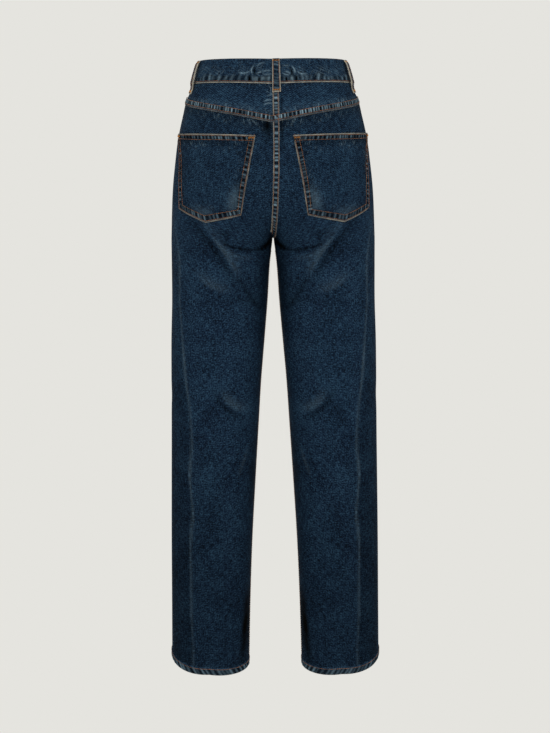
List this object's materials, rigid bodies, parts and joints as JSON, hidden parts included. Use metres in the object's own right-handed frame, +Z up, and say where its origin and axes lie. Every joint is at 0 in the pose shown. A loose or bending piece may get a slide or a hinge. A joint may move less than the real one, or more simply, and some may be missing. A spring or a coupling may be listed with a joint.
{
  "type": "loose fit jeans",
  "caption": "Dark indigo loose fit jeans, filled out as worn and hollow, with waistband, belt loops, back yoke, patch back pockets, scooped front pockets and straight legs",
  "frame": {"origin": "centre of the waist opening, halfway down the waistband, where the wearer holds the garment up", "axes": "+Z up towards the waist, along the garment's length; +Y towards the wearer's back; +X towards the wearer's left"},
  "size_m": [0.3656, 0.2463, 1.0622],
  "materials": {
    "denim": "dark indigo twill, worn pale along its seams",
    "zip": "aged brass teeth on dark tape",
    "button": "aged, satin"
  },
  "bodies": {
    "root": {"front_panel_left": "denim", "front_panel_right": "denim", "front_pocket_facing_left": "denim", "front_pocket_facing_right": "denim", "back_panel_left": "denim", "back_panel_right": "denim", "back_yoke_left": "denim", "back_yoke_right": "denim", "back_pocket_left": "denim", "back_pocket_right": "denim", "waistband": "denim", "belt_loop_back": "denim", "belt_loop_side_left": "denim", "belt_loop_side_right": "denim", "belt_loop_front_left": "denim", "belt_loop_front_right": "denim", "fly_shield": "denim", "fly_zip": "zip", "waist_button": "button"}
  },
  "joints": []
}
